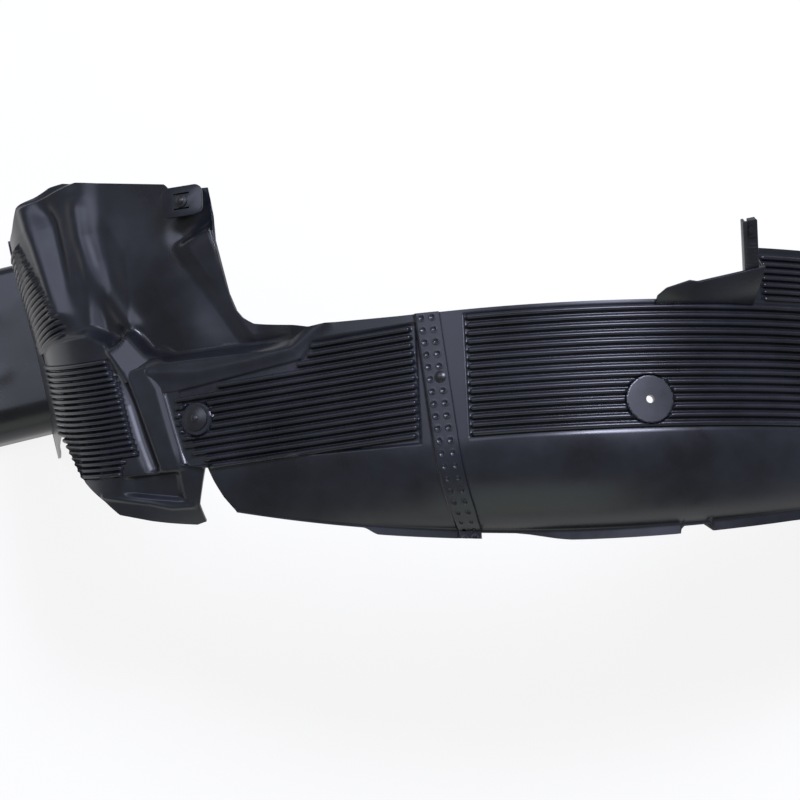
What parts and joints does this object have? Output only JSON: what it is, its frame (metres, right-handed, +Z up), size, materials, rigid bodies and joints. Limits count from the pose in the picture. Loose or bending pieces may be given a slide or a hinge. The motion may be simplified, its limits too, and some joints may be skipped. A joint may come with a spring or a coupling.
{
  "type": "wheel arch liner",
  "caption": "Moulded black wheel arch liner: lapped front and rear sections with ribbed crown panels, a tall front wall, a raised bracket and push rivets.",
  "frame": {"origin": "bottom centre of the bounding box, on the ground that the two legs stand on", "axes": "+X to the rear of the car, along the arch; +Y inboard, away from the outer lip; +Z up to the crown. The wheel axis runs along Y"},
  "size_m": [1.0134, 0.3524, 0.4535],
  "materials": {
    "moulded_liner": "injection moulded polypropylene, fine matte grain, scuffed on the ribs",
    "rivet_plastic": "moulded nylon, smooth satin",
    "clip_steel": "black coated spring steel"
  },
  "bodies": {
    "root": {"rear_section": "moulded_liner", "front_section": "moulded_liner", "panel_rivet_body": "rivet_plastic", "panel_rivet_pin": "rivet_plastic", "tab_rivet_body": "rivet_plastic", "tab_rivet_pin": "rivet_plastic", "seam_rivet": "rivet_plastic", "bracket_clip": "clip_steel"}
  },
  "joints": []
}
